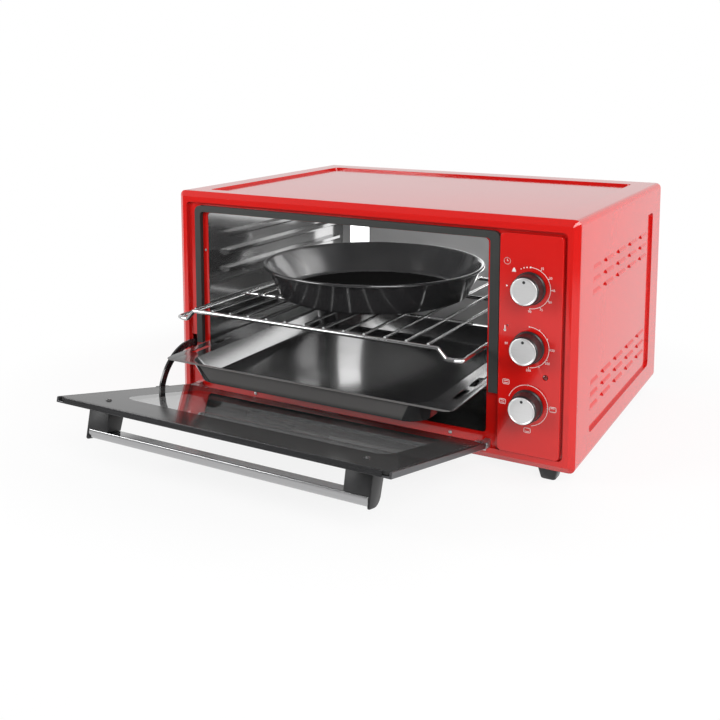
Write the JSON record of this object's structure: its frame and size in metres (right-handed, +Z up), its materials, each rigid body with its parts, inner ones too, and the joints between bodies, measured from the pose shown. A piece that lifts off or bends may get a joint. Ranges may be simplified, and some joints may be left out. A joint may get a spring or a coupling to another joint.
{
  "type": "countertop oven",
  "caption": "Boxy enamelled countertop oven with a drop-down glass door on a bar handle, a side panel of dials, a wire rack, a baking tray and a round pan.",
  "frame": {"origin": "middle of the bottom of the resting object's bounding box, on the table between the feet", "axes": "+Z up, -Y towards the user in front of the door, +X towards the side with the dials"},
  "size_m": [0.53, 0.6324, 0.291],
  "materials": {
    "red_enamel": "gloss red enamel on pressed sheet steel",
    "plated_sheet": "plain zinc-plated sheet steel",
    "cavity_sheet": "bright aluminised sheet steel",
    "seal": "matte dark grey silicone",
    "black_plastic": "satin black moulded plastic",
    "heater_tube": "dull steel tube",
    "lamp_lens": "dark translucent lens",
    "door_glass": "toughened glass with a black printed border",
    "grey_trim": "satin grey metal trim",
    "black_trim": "satin black paint",
    "handle_alloy": "brushed along its length",
    "rack_chrome": "bright plated wire",
    "black_enamel": "gloss black enamel on pressed steel",
    "silver_face": "satin silver disc"
  },
  "bodies": {
    "case": {"outer_shell": "red_enamel", "front_frame": "red_enamel", "control_panel": "red_enamel", "back_panel": "plated_sheet", "base_plate": "plated_sheet", "control_bulkhead": "plated_sheet", "cavity_wrap": "cavity_sheet", "cavity_wall_left": "cavity_sheet", "cavity_wall_right": "cavity_sheet", "door_seal": "seal", "foot_front_left": "black_plastic", "foot_front_right": "black_plastic", "foot_back_left": "black_plastic", "foot_back_right": "black_plastic", "wall_spacer_left": "black_plastic", "wall_spacer_right": "black_plastic", "cable_gland": "black_plastic", "heater_top_front": "heater_tube", "heater_top_rear": "heater_tube", "heater_bottom_front": "heater_tube", "heater_bottom_rear": "heater_tube", "thermostat_bulb": "heater_tube", "timer_unit": "plated_sheet", "thermostat_unit": "plated_sheet", "selector_unit": "plated_sheet", "pilot_lamp": "lamp_lens", "rail_screw_left": "plated_sheet", "rail_screw_right": "plated_sheet", "flange_screw_left": "plated_sheet", "hinge_bearing_left": "plated_sheet", "hinge_bearing_right": "plated_sheet"},
    "door": {"door_glass": "door_glass", "door_trim_left": "grey_trim", "door_trim_right": "grey_trim", "door_top_trim": "black_trim", "door_hinge_rail": "black_trim", "hinge_tab_left": "plated_sheet", "hinge_tab_right": "plated_sheet", "hinge_arm": "black_trim", "handle_bracket_left": "black_plastic", "handle_bracket_right": "black_plastic", "handle_bar": "handle_alloy", "handle_screw_left": "plated_sheet", "handle_screw_right": "plated_sheet"},
    "rack": {"wire_rack": "rack_chrome"},
    "tray": {"baking_tray": "black_enamel"},
    "pan": {"round_pan": "black_enamel"},
    "timer_dial": {"timer_knob": "black_plastic", "timer_knob_face": "silver_face"},
    "thermostat_dial": {"thermostat_knob": "black_plastic", "thermostat_knob_face": "silver_face"},
    "selector_dial": {"selector_knob": "black_plastic", "selector_knob_face": "silver_face"}
  },
  "joints": [
    {"name": "door_hinge", "type": "hinge", "parent": "case", "child": "door", "pos_m": [-0.03, -0.08359, 0.034], "axis": [-1, 0, 0], "range_deg": [0, 77]},
    {"name": "rack_slide", "type": "slide", "parent": "case", "child": "rack", "axis": [0, 1, 0], "range_m": [0, 0.066]},
    {"name": "tray_slide", "type": "slide", "parent": "case", "child": "tray", "axis": [0, 1, 0], "range_m": [0, 0.09]},
    {"name": "pan_lift", "type": "slide", "parent": "rack", "child": "pan", "axis": [0, 0, 1], "range_m": [0, 0.038]},
    {"name": "timer_turn", "type": "hinge", "parent": "case", "child": "timer_dial", "pos_m": [0.2135, -0.09259, 0.2155], "axis": [0, 1, 0], "range_deg": [-90, 180]},
    {"name": "thermostat_turn", "type": "hinge", "parent": "case", "child": "thermostat_dial", "pos_m": [0.2135, -0.09259, 0.151], "axis": [0, 1, 0], "range_deg": [0, 270]},
    {"name": "selector_turn", "type": "hinge", "parent": "case", "child": "selector_dial", "pos_m": [0.2135, -0.09259, 0.0865], "axis": [0, 1, 0], "range_deg": [0, 270]}
  ],
  "couplings": [
    {"joint": "rack_slide", "follows": "door_hinge", "m_per_rad": 0.0491},
    {"joint": "tray_slide", "follows": "door_hinge", "m_per_rad": 0.06696}
  ]
}
